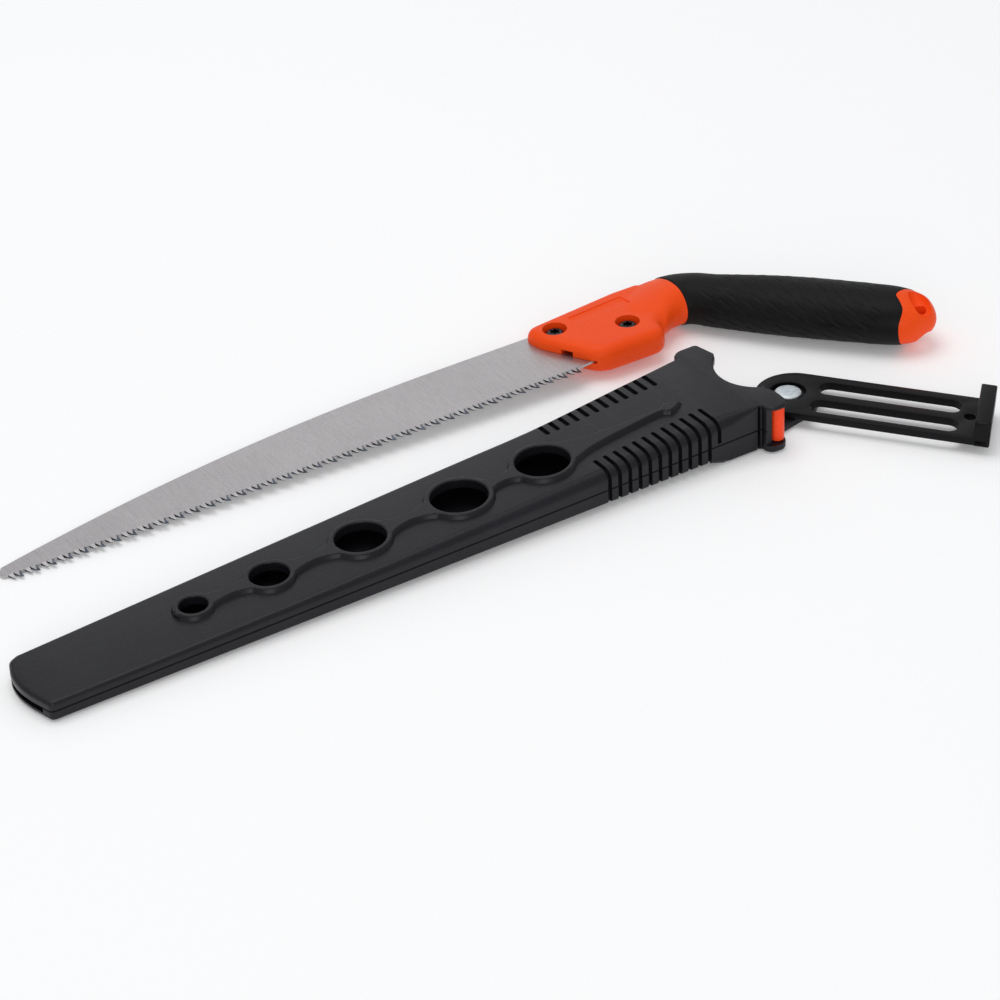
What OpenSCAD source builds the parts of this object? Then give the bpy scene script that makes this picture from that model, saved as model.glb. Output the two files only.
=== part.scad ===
// Fixed-blade pruning saw lying beside its hard two-shell holster.
// X runs along the holster towards its mouth, Y across it, Z up from its back.

/* [Holster] */
// Distance from the origin, on the foot, to the closed end
holster_back = 332; // [325:1:340]
// Distance from the origin to the floor's edge at the mouth
holster_front = 8; // [6:1:9]
// Half width on the straight side, where the teeth lie
tooth_side = 23.5; // [22:0.5:26]
// Half width on the curved side at the mouth
spine_side = 31.8; // [30:0.1:33]
// Half width on the curved side at its waist
spine_waist = 26.2; // [24:0.1:28]
// How much narrower the curved side is at the closed end
spine_taper = 12; // [8:0.5:14]
// Height of the closed end
end_height = 8.3; // [7.5:0.1:9]
// Height of the mouth
mouth_height = 23; // [21:0.5:25]
// Wall thickness of both shells
wall = 1.8; // [1.5:0.1:2.2]
// Height of the foot below the mouth
foot_height = 3; // [2:0.5:3.5]
// Diameters of the round holes, from the closed end
hole_sizes = [11.8, 16.4, 21.6, 24.4, 23.6]; // [10:0.2:26]
// Places of the round holes along the holster
hole_places = [-254, -220, -178, -131, -90]; // [-270:1:-70]
// Height of the chain-like ridge around the holes
ridge_height = 2.2; // [1:0.1:3]
// Grip grooves on each edge
groove_count = 12; // [6:1:14]
// Distance between grip grooves
groove_pitch = 5.1; // [4:0.1:6]
// Width of a grip groove on the straight side
groove_width = 1.9; // [1.2:0.1:2.4]
// Width of a grip groove on the curved side
far_groove_width = 2.4; // [1.2:0.1:2.8]

/* [Latch roller] */
// Radius of the roller
roller_r = 3.1; // [2.8:0.1:3.2]
// Radius of the roller's pin
roller_pin_r = 1.25; // [1:0.05:1.5]

/* [Hanger] */
// Distance of the pivot from the origin
pivot_x = 38; // [36:1:44]
// Angle of the arm from the holster's axis at rest
arm_angle = -53; // [-60:1:-45]
// Thickness of the arm
arm_t = 3.6; // [3:0.1:4]
// Half width of the arm
arm_half_w = 17.5; // [15:0.5:19]
// Length from the pivot to the outside of the hook
arm_length = 92; // [85:1:100]
// Height of the hook above the arm
hook_height = 8; // [5:0.5:12]
// Length of a belt slot
slot_length = 65; // [50:1:66]
// Width of a belt slot
slot_width = 10.6; // [8:0.1:11]
// Radius of the rivet's shank
rivet_r = 2.5; // [2:0.1:3]

/* [Saw] */
// Where the saw's tooth line starts, beside the holster
saw_x = -301; // [-305:1:-295]
// Distance of the tooth line from the holster's axis at the tip
saw_y = 75; // [72:1:90]
// Turn of the saw from the holster's axis
saw_turn = -1.93; // [-3:0.01:0]
// Pairs of teeth
tooth_pairs = 38; // [30:1:38]
// Length of one pair of teeth
pair_pitch = 7.25; // [7:0.05:7.4]
// Height of a tooth
tooth_depth = 4.2; // [3:0.1:5]
// Width of the blade at the handle
blade_width = 41; // [39:0.5:42]
// Thickness of the blade
blade_t = 1.2; // [1:0.1:1.5]
// Thickness of the guard
guard_t = 13; // [12.5:0.5:14]
// Angle between the grip and the blade
grip_angle = -47.4; // [-50:0.1:-45]
// Half thickness of the grip
grip_half_t = 12.3; // [11.5:0.1:13]
// Half width of the grip
grip_half_w = 16.8; // [15:0.1:18]
// Length of the grip and butt
grip_length = 110; // [105:1:116]
// Radius of the lanyard hole
lanyard_r = 2.75; // [2:0.05:3]

/* [Hidden] */
$fn = 48;
fit = 0.05;
gap = 0.4;
far = 400;

shell_black = [0.10, 0.10, 0.11];
rubber_black = [0.06, 0.06, 0.06];
signal_orange = [0.98, 0.33, 0.06];
steel_grey = [0.72, 0.72, 0.73];
zinc_grey = [0.80, 0.81, 0.83];

// ---- Holster outline and heights ----
body_l = holster_front + holster_back;
grip_end = -10;
steps = 14;
waist_x = -95;
taper_length = 237;
flare_length = 90;

side_wall = wall + 0.4;

// Curved edge of the holster at a place along it
function spine_edge(x) = spine_waist - spine_taper * pow(max(0, waist_x - x) / taper_length, 1.55)
  + (spine_side - spine_waist) * eased(min(max((x - waist_x) / flare_length, 0), 1));
// Eased step from 0 to 1
function eased(t) = t * t * (3 - 2 * t);
// Share of the length, 0 at the closed end and 1 at the mouth's lips
function share(x) = (x + holster_back) / (body_l + 8);
// Height of the top face
function top_z(x) = end_height + (mouth_height - end_height) * (0.35 * share(x) + 0.65 * pow(share(x), 2));
// Height of the underside in front of the foot
function under_z(x) = foot_height * share(x);
// Height of the seam between the shells
function seam_z(x) = 4.3 + 6.1 * share(x);

along = [for (i = [0:steps]) -holster_back + 4 + (grip_end + holster_back - 4) * i / steps];

// Plan of the body, set in by a margin
module body_plan(inset, front) {
  polygon(concat(
    [[front, -tooth_side + inset], [-holster_back + 7, -tooth_side + inset],
     [-holster_back + 5.6 + inset * 0.6, -tooth_side + 0.9 + inset * 0.6],
     [-holster_back + 2.2 + inset, -13], [-holster_back + inset, -2],
     [-holster_back + 2 + inset, 7], [-holster_back + 4 + inset, 12.5 - inset / 2]],
    [for (x = along) if (x > -holster_back + 6) [x, spine_edge(x) - inset]],
    [[front, spine_side - inset]]));
}

// Lips at the mouth: two ears with a hollow between them
module mouth_plan() {
  difference() {
    polygon([[-14, -tooth_side], [6, -tooth_side], [6, -26], [8, -29.4], [14.8, -29.6], [17.2, -25.5],
      [17.5, -18],
      [15, -11], [15.9, 24.6], [14.4, 35.6], [13, 36.4], [5, 36.8], [2.5, 36], [1.2, 34], [0.4, spine_side],
      [-10, spine_side - 0.2], [-14, 28]]);
    translate([28, 5.5]) circle(r = 21.3, $fn = 96);
  }
}

// Solid across the whole width, from a straight lower line up to the seam or to the top face
module side_prism(low, rise, above_top) {
  xs = concat([-holster_back - 2], along, [grip_end + 10, holster_front, holster_front + 12]);
  upper = [for (x = xs) is_undef(above_top) ? seam_z(x) : top_z(x) + above_top];
  rotate([90, 0, 0]) linear_extrude(height = 100, center = true)
    polygon(concat([for (x = xs) [x, low + rise * share(x)]],
      [for (i = [len(xs) - 1:-1:0]) [xs[i], upper[i]]]));
}

// The body's solid from a lower line up to the seam or to the top face
module body_solid(low, rise, above_top) {
  intersection() {
    union() {
      linear_extrude(height = 40) body_plan(0, holster_front - 4);
      linear_extrude(height = 40) mouth_plan();
    }
    side_prism(low, rise, above_top);
  }
}

// Hollow for the blade and the front of the guard
module blade_cavity() {
  intersection() {
    translate([0, 0, -5]) linear_extrude(height = 45) body_plan(side_wall, far);
    side_prism(wall, foot_height + 0.2, -wall);
  }
}

// Slot over one edge: down the side from the top, and in over the top face to a round end
module grip_groove(x, side, edge, inner, width, low) {
  translate([x - width / 2, side > 0 ? edge - groove_depth : -40, low])
    cube([width, 40 - abs(edge) + groove_depth, 60]);
  translate([x, inner, top_z(x) - groove_depth]) linear_extrude(height = 20) {
    circle(d = width);
    translate([-width / 2, side > 0 ? 0 : -20]) square([width, 20]);
  }
}

// Slots that make the edges easy to hold, slightly longer towards the closed end
module grip_grooves() {
  for (i = [0:groove_count - 1]) {
    near_x = near_groove_x + i * groove_pitch;
    far_x = far_groove_x + i * (groove_pitch + 0.07);
    low = i == groove_count - 1 ? seam_z(near_x) + 1 : -1;
    grip_groove(near_x, -1, -tooth_side, near_groove_end + 0.33 * i, groove_width, low);
    grip_groove(far_x, 1, spine_edge(far_x), far_groove_end + 0.17 * i, far_groove_width, -1);
  }
}
groove_depth = 0.95;
near_groove_x = -72;
far_groove_x = -75.4;
near_groove_end = -11.8;
far_groove_end = 17.6;

// Plan of the ridge that links the holes
module ridge_plan() {
  rim = 3.2;
  neck = 3.6;
  for (i = [0:len(hole_places) - 1])
    translate([hole_places[i], 0]) circle(d = hole_sizes[i] + 2 * rim, $fn = 72);
  for (i = [0:len(hole_places) - 2]) {
    a = hole_places[i] + hole_sizes[i] * 0.35;
    b = hole_places[i + 1] - hole_sizes[i + 1] * 0.35;
    ra = hole_sizes[i] / 2 + rim * 0.4;
    rb = hole_sizes[i + 1] / 2 + rim * 0.4;
    polygon([for (k = [0:10], s = [1]) neck_point(a, b, ra, rb, neck, k / 10, s),
      for (k = [10:-1:0], s = [-1]) neck_point(a, b, ra, rb, neck, k / 10, s)]);
  }
  tail = hole_places[4] + 8;
  polygon([[tail, 11], [tail + 14, 5.6], [tail + 30, 3.2], [tail + 52, 2], [tail + 57, 3.4], [tail + 66, 0],
    [tail + 57, -3.4], [tail + 52, -2], [tail + 30, -3.2], [tail + 14, -5.6], [tail, -11]]);
}
// Half width of the neck between two rims, narrowest in the middle
function neck_point(a, b, ra, rb, neck, t, s) =
  [a + (b - a) * t, s * (neck + ((1 - t) * ra + t * rb - neck) * pow(abs(2 * t - 1), 2.2) * 0.8)];

roller_x = 13.6;
roller_y = -24.6;
roller_low = 3.9;
roller_high = 20.7;
roller_space = roller_r + 0.35;

// Open pocket around the roller, between the lip above and the lobe below
module roller_pocket() {
  translate([roller_x, roller_y, roller_low - gap])
    cylinder(r = roller_space, h = roller_high - roller_low + 2 * gap);
  translate([roller_x, roller_y - 10, roller_low - gap])
    cube([10, 10 + 2.2, roller_high - roller_low + 2 * gap]);
  translate([roller_x - roller_space + 0.2, roller_y - 10, roller_low - gap])
    cube([roller_space, 10, roller_high - roller_low + 2 * gap]);
}

// Cut that frees the latch's ear from the body's side
module ear_slit() {
  translate([4.2, -40, -1]) cube([1.4, 40 - tooth_side + 2.6, mouth_height - 1.4]);
}

module pin_bore(low, high) {
  translate([roller_x, roller_y, low]) cylinder(r = roller_pin_r, h = high - low);
}

module upper_shell() {
  color(shell_black) difference() {
    union() {
      body_solid(4.3, 6.1, 0);
      intersection() {
        linear_extrude(height = 40) ridge_plan();
        side_prism(4.3, 6.1, ridge_height);
      }
    }
    blade_cavity();
    for (i = [0:len(hole_places) - 1])
      translate([hole_places[i], 0, 0]) cylinder(d = hole_sizes[i], h = 60, $fn = 72);
    grip_grooves();
    roller_pocket();
    ear_slit();
    pin_bore(0, roller_pin_top + 0.1);
  }
}
roller_pin_top = roller_high + 1.5;
roller_pin_low = 1.8;

tab_r = 15;
tab_t = 3.4;
bore_r = rivet_r + fit;

// Tongue behind the mouth that carries the hanger
module tab_solid() {
  linear_extrude(height = tab_t) {
    polygon([[grip_end + 4, -17.5], [pivot_x - 14, -17.5], [pivot_x - 2, -tab_r], [pivot_x - 2, tab_r],
      [pivot_x - 14, 17.5], [grip_end + 4, 17.5]]);
    translate([pivot_x, 0]) circle(r = tab_r, $fn = 72);
  }
}

// Foot under the mouth, wide enough for both ears
module foot_solid() {
  intersection() {
    linear_extrude(height = 40) mouth_plan();
    side_prism(0, 0);
  }
}

module lower_shell() {
  color(shell_black) difference() {
    union() {
      body_solid(0, foot_height);
      foot_solid();
      tab_solid();
    }
    blade_cavity();
    grip_grooves();
    roller_pocket();
    ear_slit();
    pin_bore(roller_pin_low, 40);
    translate([-holster_back - 4, -18.5, 2.2]) cube([11, 23.5, 6]);
    translate([pivot_x, 0, -1]) cylinder(r = rivet_r, h = 10);
    translate([pivot_x, 0, -1]) cylinder(r = 6, h = 2.6);
  }
}

module latch_roller() {
  color(signal_orange) translate([roller_x, roller_y, roller_low]) difference() {
    cylinder(r = roller_r, h = roller_high - roller_low);
    translate([0, 0, -1]) cylinder(r = roller_pin_r + fit, h = 40);
  }
}

module roller_pin() {
  color(steel_grey) pin_bore(roller_pin_low, roller_pin_top);
}

// ---- Hanger ----
arm_low = tab_t + 0.3;
arm_high = arm_low + arm_t;
recess_r = 8;
recess_floor = arm_high - 1.7;

module at_arm() {
  translate([pivot_x, 0, arm_low]) rotate([0, 0, arm_angle]) children();
}

// Belt slot with round ends
module belt_slot(y) {
  first = 12.5 + slot_width / 2;
  last = 12.5 + slot_length - slot_width / 2;
  translate([0, y, -1]) linear_extrude(height = 20) {
    translate([first, 0]) circle(d = slot_width);
    translate([last, 0]) circle(d = slot_width);
    translate([first, -slot_width / 2]) square([last - first, slot_width]);
  }
}

hook_t = 7;
cord_hole_r = 2.6;
far_slot_y = 6.9;
near_slot_y = -8.8;
module hanger_arm() {
  color(shell_black) at_arm() difference() {
    union() {
      linear_extrude(height = arm_t) {
        translate([3, 0]) circle(r = arm_half_w, $fn = 96);
        translate([3, -arm_half_w]) square([arm_length - 4, 2 * arm_half_w]);
      }
      translate([arm_length - hook_t, -arm_half_w, 0])
        cube([hook_t, 2 * arm_half_w, arm_t + hook_height]);
    }
    translate([0, 0, -1]) cylinder(r = bore_r, h = 20);
    translate([0, 0, recess_floor - arm_low]) cylinder(r = recess_r, h = 20);
    belt_slot(far_slot_y);
    belt_slot(near_slot_y);
    translate([81.8, 0, -1]) cylinder(r = cord_hole_r, h = 20);
  }
}

module hanger_rivet() {
  color(zinc_grey) translate([pivot_x, 0, 0]) {
    translate([0, 0, 0.2]) cylinder(r = 3.6, h = 0.7);
    translate([0, 0, 0.5]) cylinder(r = rivet_r, h = recess_floor);
    translate([0, 0, recess_floor + 0.05]) cylinder(r = 5.9, h = 1.2);
    translate([0, 0, recess_floor + 1.25]) cylinder(r1 = 5.9, r2 = 5.1, h = 0.5);
  }
}

module rivet_washer() {
  color(steel_grey) translate([pivot_x, 0, 0.9]) difference() {
    cylinder(r = 5.4, h = 0.7);
    translate([0, 0, -1]) cylinder(r = rivet_r + 0.02, h = 4);
  }
}

// ---- Saw ----
tip_height = blade_t / 2 + 0.1;
grip_centre = 390;
saw_pitch = asin((grip_half_t - tip_height + 0.1) / grip_centre);
teeth_end = tooth_pairs * pair_pitch;
front_hole = [279.5, 31.5];
rear_hole = [309.5, 17];
grip_start = [353.2, 23.2];

// Places the saw, blade level plane through its tooth line, on the surface
module at_saw() {
  translate([saw_x, saw_y, tip_height]) rotate([0, -saw_pitch, saw_turn]) children();
}

// Places things on the grip's own axis, which starts at the neck
module at_grip() {
  at_saw() translate([grip_start[0], grip_start[1], 0]) rotate([0, 0, grip_angle]) children();
}

function blade_back(s) = blade_width - 30 * pow(max(0, 225 - s) / 225, 2);

// One pair of teeth: a short one, a long one and the gullet after them
function tooth_pair(i) = [for (p = [[0.08, 1], [0.4, 0.12], [0.47, 0.62], [0.84, 0], [0.83, 0.95]])
  [(i + p[0]) * pair_pitch, tooth_depth * p[1]]];

module blade_plan() {
  polygon(concat(
    [[-1.5, 4.5]],
    [for (i = [0:tooth_pairs - 1], p = tooth_pair(i)) p],
    [[teeth_end + 2, tooth_depth], [284.5, 3.6], [318, 8], [330, 24], [326, 36], [300, 38.5],
      [286, blade_width - 1]],
    [for (k = [12:-1:0]) [k * 22, blade_back(k * 22)]],
    [[-2.5, 7]]));
}

module blade() {
  color(steel_grey) at_saw() translate([0, 0, -blade_t / 2]) difference() {
    linear_extrude(height = blade_t) blade_plan();
    for (h = [front_hole, rear_hole])
      translate([h[0], h[1], -1]) cylinder(r = nut_shank_r + fit, h = 5);
  }
}

nut_shank_r = 2.9;
screw_r = 2;
head_r = 3.6;
recess_depth = 4;
seat_r = 5.6;
head_t = 2.4;
drive_r = 1.9;
seat = guard_t / 2 - recess_depth;

// Side view of the guard, set in by a margin
module guard_plan(inset) {
  polygon([[269.5 + inset * 1.1, 29 + inset * 0.4], [267.8 + inset, 33], [267.6 + inset, 37.5 - inset * 0.4],
    [270 + inset, 40.8 - inset], [276, 42.8 - inset], [300, 45.6 - inset], [318, 46.6 - inset],
    [327, 45.6 - inset], [327, 10], [321.5 - inset, 6], [321 - inset, 2.5 + inset * 0.5],
    [318 - inset, inset + 0.8], [314 - inset, inset + 0.4], [293, inset + 0.4],
    [287.5 + inset * 0.3, inset + 1.2], [283.5 + inset * 0.6, 4 + inset * 0.8]]);
}

// Guard with its long edges eased off
module guard_solid() {
  hull() {
    translate([0, 0, -guard_t / 2 + guard_ease])
      linear_extrude(height = guard_t - 2 * guard_ease) guard_plan(0);
    translate([0, 0, -guard_t / 2 + 1.2]) linear_extrude(height = guard_t - 2.4) guard_plan(1.2);
    translate([0, 0, -guard_t / 2]) linear_extrude(height = guard_t) guard_plan(guard_ease);
  }
}
guard_ease = 4.6;

// Slice across the grip: an oval with its own half width and half thickness
module grip_slice(u, half_w, half_t, shift) {
  translate([u, shift, 0]) rotate([90, 0, 90]) linear_extrude(height = 0.5)
    scale([half_w, half_t]) circle(r = 1, $fn = 32);
}

core_half_w = 9;
core_half_t = 5;
module grip_core() {
  translate([-12, -core_half_w, -core_half_t])
    cube([butt_start + 16, 2 * core_half_w, 2 * core_half_t]);
}

butt_start = 90;
lanyard_u = grip_length - 7.5;
lanyard_v = -1.2;

// Slice across the neck, at a place and turn in the blade's plane
module neck_slice(place, turn, half_w, half_t) {
  at_saw() translate([place[0], place[1], 0]) rotate([0, 0, turn]) grip_slice(0, half_w, half_t, 0);
}

// Bend between the flat guard and the round grip
module neck() {
  hull() {
    neck_slice([312, 25], 0, 18, 6.6);
    neck_slice([332, 26], -18, 16, 9);
  }
  hull() {
    neck_slice([332, 26], -18, 16, 9);
    at_grip() grip_slice(-6.5, 13, 10.8, 0);
  }
}

module handle_core() {
  color(signal_orange) difference() {
    union() {
      at_saw() guard_solid();
      neck();
      at_grip() {
        grip_core();
        hull() {
          grip_slice(butt_start, 15.7, 12, 0);
          grip_slice(butt_start + 7, 14.6, 11.3, -0.5);
          grip_slice(butt_start + 13, 12, 9.6, -1.2);
          grip_slice(grip_length - 2.5, 7.5, 6.5, -2.4);
        }
      }
    }
    at_saw() {
      translate([0, 0, -blade_t / 2 - 0.1]) linear_extrude(height = blade_t + 0.2) {
        polygon([[250, -6], [281, -6], [284, 2.5], [319, 7.5], [331, 24], [327, 37], [300, 39.5],
          [286, 41.2], [250, 41.2]]);
      }
      for (h = [front_hole, rear_hole]) translate([h[0], h[1], 0]) {
        translate([0, 0, -20]) cylinder(r = nut_shank_r + fit, h = 40);
        translate([0, 0, seat]) cylinder(r = seat_r, h = 10);
        translate([0, 0, -seat - 10]) cylinder(r = seat_r, h = 10);
      }
      translate([305, 32.5, guard_t / 2 - 0.5]) rotate([0, 0, 5]) translate([-14, -4.2, 0]) cube([28, 8.4, 2]);
      translate([273.5, 15.5, -3]) rotate([0, 0, -64]) cube([6.2, 3.4, 6], center = true);
    }
    at_grip() {
      translate([lanyard_u, lanyard_v, -20]) cylinder(r = lanyard_r, h = 40);
      for (s = [-1, 1]) translate([lanyard_u, lanyard_v, 0]) rotate([s > 0 ? 0 : 180, 0, 0])
        translate([0, 0, 4.5]) cylinder(r1 = lanyard_r, r2 = lanyard_r + 3.5, h = 6);
    }
  }
}

module grip_sleeve() {
  color(rubber_black) at_grip() difference() {
    union() {
      hull() {
        grip_slice(-6, 13.2, 11, 0);
        grip_slice(18, 14.8, 11.8, 0.3);
        grip_slice(42, grip_half_w, grip_half_t, 0.6);
      }
      hull() {
        grip_slice(42, grip_half_w, grip_half_t, 0.6);
        grip_slice(68, grip_half_w, grip_half_t, 0.4);
        grip_slice(butt_start - 0.5, 16, 12.2, 0);
      }
    }
    grip_core();
  }
}

// Recessed-drive screw from the upper face
module handle_screw(place) {
  color(steel_grey) at_saw() translate([place[0], place[1], 0]) difference() {
    union() {
      translate([0, 0, seat]) cylinder(r = head_r, h = head_t);
      translate([0, 0, -guard_t / 2 + 3.4]) cylinder(r = screw_r, h = guard_t / 2 - 3.4 + seat + 0.1);
    }
    translate([0, 0, seat + 1]) cylinder(r = drive_r, h = 5, $fn = 6);
  }
}

// Barrel nut from the lower face
module barrel_nut(place) {
  color(steel_grey) at_saw() translate([place[0], place[1], 0]) difference() {
    union() {
      translate([0, 0, -seat - head_t]) cylinder(r = head_r, h = head_t);
      translate([0, 0, -seat - 0.1]) cylinder(r = nut_shank_r, h = 2 * seat);
    }
    translate([0, 0, -seat - 1]) cylinder(r = screw_r, h = 20);
    translate([0, 0, -seat - 5]) cylinder(r = drive_r, h = 3.6, $fn = 6);
  }
}

module front_screw() { handle_screw(front_hole); }
module rear_screw() { handle_screw(rear_hole); }
module front_barrel_nut() { barrel_nut(front_hole); }
module rear_barrel_nut() { barrel_nut(rear_hole); }

upper_shell();
lower_shell();
latch_roller();
roller_pin();
hanger_arm();
hanger_rivet();
rivet_washer();
blade();
handle_core();
grip_sleeve();
front_screw();
rear_screw();
front_barrel_nut();
rear_barrel_nut();
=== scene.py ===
import math

import bmesh
import bpy
from mathutils import Matrix, Vector


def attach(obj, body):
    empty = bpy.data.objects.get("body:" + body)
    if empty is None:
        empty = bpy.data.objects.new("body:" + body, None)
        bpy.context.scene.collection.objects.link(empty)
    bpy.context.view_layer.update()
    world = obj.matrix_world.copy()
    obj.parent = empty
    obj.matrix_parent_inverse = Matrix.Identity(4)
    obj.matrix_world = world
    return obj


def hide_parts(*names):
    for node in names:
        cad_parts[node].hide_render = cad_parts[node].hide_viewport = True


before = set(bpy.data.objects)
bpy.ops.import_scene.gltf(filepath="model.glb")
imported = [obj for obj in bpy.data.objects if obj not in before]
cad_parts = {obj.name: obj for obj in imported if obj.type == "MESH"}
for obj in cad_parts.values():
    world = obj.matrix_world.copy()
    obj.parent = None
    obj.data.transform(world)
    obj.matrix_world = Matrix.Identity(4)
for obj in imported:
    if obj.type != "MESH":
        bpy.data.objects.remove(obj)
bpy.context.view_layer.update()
scene = bpy.context.scene

# Lengths below are in millimetres, and every finished piece is brought down to metres
toMetres = 0.001

# ---- Camera, floor and light ----
look = dict(lens=99.64, elevation=32.12, bearing=30.3, roll=3.34, distance=1.166,
            target=(-0.1061, 0.0094, 0))
studio = dict(floorSize=14, floorTone=(0.97, 0.97, 0.97), floorGlow=0.12, floorHeight=-0.0004,
              skyTone=(0.97, 0.98, 1), skyPower=0.52)
# Each lamp: place, aim, size, watts
lamps = dict(
    overhead=((-0.2, 0.45, 2.1), (-0.1, 0.05, 0), 1.7, 15),
    farWindow=((0.9, 2.2, 1.1), (-0.05, 0.05, 0), 1.5, 2.5),
    frontFill=((-1.3, -1.9, 0.9), (-0.1, 0, 0), 1.4, 12),
)


def addCamera():
    tilt, side, turn = (math.radians(look[k]) for k in ("elevation", "bearing", "roll"))
    ahead = Vector((math.sin(side) * math.cos(tilt), math.cos(side) * math.cos(tilt), -math.sin(tilt)))
    level = Vector((math.cos(side), -math.sin(side), 0))
    rise = level.cross(ahead)
    right = math.cos(turn) * level - math.sin(turn) * rise
    up = math.sin(turn) * level + math.cos(turn) * rise
    data = bpy.data.cameras.new("camera")
    data.lens, data.sensor_width = look["lens"], 36
    data.clip_start, data.clip_end = 0.05, 50
    camera = bpy.data.objects.new("camera", data)
    scene.collection.objects.link(camera)
    place = Vector(look["target"]) - look["distance"] * ahead
    camera.matrix_world = Matrix.Translation(place) @ Matrix((right, up, -ahead)).transposed().to_4x4()
    scene.camera = camera


addCamera()
print("camera placed")


# ---- Shader helpers ----
class Wire:
    # a socket that takes part in sums

    def __init__(self, paint, out):
        self.paint, self.out = paint, out

    def maths(self, operation, other, swap=False):
        pair = (other, self) if swap else (self, other)
        return self.paint.node("ShaderNodeMath", dict(operation=operation), dict(enumerate(pair)))

    def __add__(self, other):
        return self.maths("ADD", other)

    def __mul__(self, other):
        return self.maths("MULTIPLY", other)

    def __sub__(self, other):
        return self.maths("SUBTRACT", other)

    def __rsub__(self, other):
        return self.maths("SUBTRACT", other, True)

    def __pow__(self, other):
        return self.maths("POWER", other)

    __radd__ = __add__
    __rmul__ = __mul__


class Paint:
    def __init__(self, name, settings):
        self.material = bpy.data.materials.new(name)
        self.material.use_nodes = True
        self.tree = self.material.node_tree
        self.shader = next(n for n in self.tree.nodes if n.type == "BSDF_PRINCIPLED")
        for key, value in settings.items():
            self.shader.inputs[key].default_value = value

    def node(self, kind, settings, inputs, out=0):
        new = self.tree.nodes.new(kind)
        for key, value in settings.items():
            if key == "stops":
                for index, (place, tone) in enumerate(value):
                    stop = new.color_ramp.elements[index] if index < 2 else new.color_ramp.elements.new(place)
                    stop.position, stop.color = place, (*tone, 1)
            else:
                setattr(new, key, value)
        for key, value in inputs.items():
            if isinstance(value, Wire):
                self.tree.links.new(value.out, new.inputs[key])
            else:
                new.inputs[key].default_value = value
        return Wire(self, new.outputs[out])

    def feed(self, **wires):
        for key, wire in wires.items():
            self.tree.links.new(wire.out, self.shader.inputs[key.replace("_", " ")])

    def place(self, scale=(1, 1, 1), turn=0.0):
        spot = self.node("ShaderNodeTexCoord", {}, {}, "Object")
        return self.node("ShaderNodeMapping", {}, {"Vector": spot, "Scale": scale, "Rotation": (0, 0, turn)})

    def noise(self, spot, scale, detail=2.0, rough=0.5):
        inputs = {"Vector": spot, "Scale": scale, "Detail": detail, "Roughness": rough}
        return self.node("ShaderNodeTexNoise", {}, inputs)

    def mix(self, share, first, second):
        new = self.node("ShaderNodeMix", dict(data_type="RGBA"), {}, 2)
        box = new.out.node
        for socket, value in ((box.inputs[0], share), (box.inputs[6], first), (box.inputs[7], second)):
            if isinstance(value, Wire):
                self.tree.links.new(value.out, socket)
            else:
                socket.default_value = (*value, 1) if isinstance(value, tuple) else value
        return new

    def band(self, value, low, high, start=0.0, end=1.0):
        return self.node("ShaderNodeMapRange", {}, {0: value, 1: low, 2: high, 3: start, 4: end})

    def bump(self, height, strength, distance, under=None):
        inputs = {"Height": height, "Strength": strength, "Distance": distance}
        if under:
            inputs["Normal"] = under
        return self.node("ShaderNodeBump", {}, inputs)


def mouldedPlastic(name, tone, paleTone, roughness, grainScale, grainDepth, shine, smear=0.05):
    # fine spark-eroded grain, uneven gloss and faint handling marks
    paint = Paint(name, {"Specular IOR Level": shine})
    spot = paint.place()
    grain = paint.noise(spot, grainScale, 3, 0.6)
    cloud = paint.noise(spot, 38, 3)
    streak = paint.noise(paint.place((30, 420, 420), 0.4), 1, 2)
    shade = paint.band(grain * 0.7 + cloud * 0.3, 0.35, 0.65)
    paint.feed(Base_Color=paint.mix(shade, tone, paleTone),
               Roughness=paint.band(cloud * 0.6 + streak * 0.4, 0.3, 0.7,
                                    roughness - smear, roughness + smear),
               Normal=paint.bump(grain, 0.6, grainDepth, paint.bump(cloud, 0.15, 0.0004)))
    return paint.material


def groundSteel(name, tone, paleTone, roughness, turn, across, lineDepth):
    # satin steel with fine grinding lines
    paint = Paint(name, {"Metallic": 1.0})
    lines = paint.noise(paint.place(across, turn), 1, 4, 0.65)
    speck = paint.noise(paint.place(), 1500, 2)
    cloud = paint.noise(paint.place(), 26, 2)
    shade = paint.band(lines * 0.45 + speck * 0.35 + cloud * 0.2, 0.36, 0.64)
    paint.feed(Base_Color=paint.mix(shade, tone, paleTone),
               Roughness=paint.band(lines * 0.5 + cloud * 0.5, 0.3, 0.7, roughness - 0.05, roughness + 0.06),
               Normal=paint.bump(lines * 0.6 + speck * 0.4, 0.35, lineDepth))
    return paint.material


def castZinc(name):
    # pale zinc with crystal flakes
    paint = Paint(name, {"Metallic": 0.75})
    spot = paint.place()
    flake = paint.node("ShaderNodeTexVoronoi", {}, {"Vector": spot, "Scale": 900}, "Color")
    flakeTone = paint.node("ShaderNodeSeparateColor", {}, {0: flake})
    cloud = paint.noise(spot, 700, 3)
    paint.feed(Base_Color=paint.mix(flakeTone * 0.5 + cloud * 0.5, (0.50, 0.55, 0.58), (0.82, 0.87, 0.90)),
               Roughness=paint.band(flakeTone, 0, 1, 0.42, 0.6),
               Normal=paint.bump(cloud * 0.6 + flakeTone * 0.4, 0.5, 0.00006))
    return paint.material


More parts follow.
